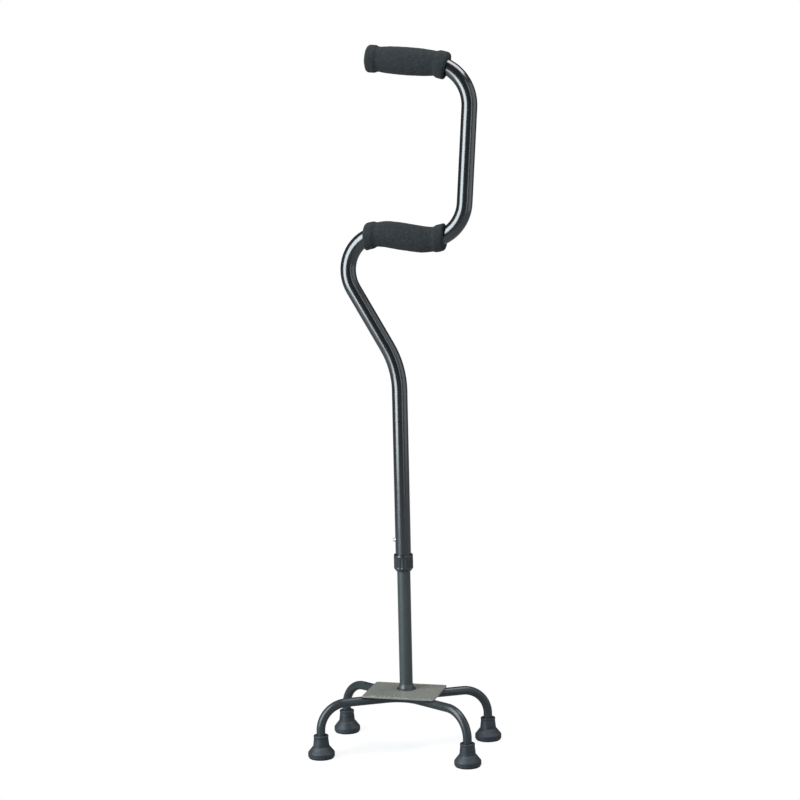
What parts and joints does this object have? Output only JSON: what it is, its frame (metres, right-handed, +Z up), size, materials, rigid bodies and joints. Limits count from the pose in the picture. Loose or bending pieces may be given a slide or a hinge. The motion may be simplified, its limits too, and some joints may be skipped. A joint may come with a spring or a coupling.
{
  "type": "quad walking cane",
  "caption": "Height-adjustable walking cane with an upper and a lower foam handle on one bent tube, a snap button and locking collar, and a splayed base with rubber feet.",
  "frame": {"origin": "on the floor at the centre of the four feet", "axes": "+Z up, +X along the hand grips from the free ends towards the mast, +Y towards the side of the base nearer the stem"},
  "size_m": [0.2538, 0.1708, 1.0091],
  "materials": {
    "black_enamel": "gloss",
    "satin_black": "satin",
    "weld_bead": "satin",
    "plate_grey": "satin",
    "grip_foam": "matte",
    "black_plastic": "satin",
    "nylon": "satin",
    "bright_steel": "polished",
    "spring_steel": "satin",
    "plain_steel": "satin",
    "tip_rubber": "matte"
  },
  "bodies": {
    "base": {"base_plate": "plate_grey", "stem_ferrule": "satin_black", "stem_weld": "weld_bead", "stem_spigot": "plain_steel", "lower_tube": "satin_black", "inner_guide_bush": "nylon", "button_spring": "spring_steel", "front_leg_tube": "satin_black", "rear_leg_tube": "satin_black", "leg_welds": "weld_bead", "tip_front_left": "tip_rubber", "tip_washer_front_left": "plain_steel", "tip_front_right": "tip_rubber", "tip_washer_front_right": "plain_steel", "tip_rear_left": "tip_rubber", "tip_washer_rear_left": "plain_steel", "tip_rear_right": "tip_rubber", "tip_washer_rear_right": "plain_steel"},
    "handle": {"handle_tube": "black_enamel", "handle_end_plug": "black_plastic", "upper_grip": "grip_foam", "lower_grip": "grip_foam", "collet_sleeve": "black_plastic"},
    "clamp": {"clamp_ring": "nylon"},
    "collar": {"locking_collar": "black_plastic"},
    "button": {"snap_button": "bright_steel"}
  },
  "joints": [
    {"name": "height_adjust", "type": "slide", "parent": "base", "child": "handle", "axis": [0, 0, 1], "range_m": [-0.1524, 0]},
    {"name": "button_press", "type": "slide", "parent": "base", "child": "button", "axis": [1, 0, 0], "range_m": [0, 0.0055], "stiffness_N_per_m": 900, "deforming": ["button_spring"]},
    {"name": "collar_travel", "type": "slide", "parent": "handle", "child": "clamp", "axis": [0, 0, 1], "range_m": [-0.002, 0]},
    {"name": "collar_turn", "type": "hinge", "parent": "clamp", "child": "collar", "pos_m": [0, 0.01, 0.2722], "axis": [0, 0, 1], "range_deg": [-360, 0]}
  ],
  "couplings": [
    {"joint": "collar_travel", "follows": "collar_turn", "m_per_rad": 0.00031831}
  ]
}
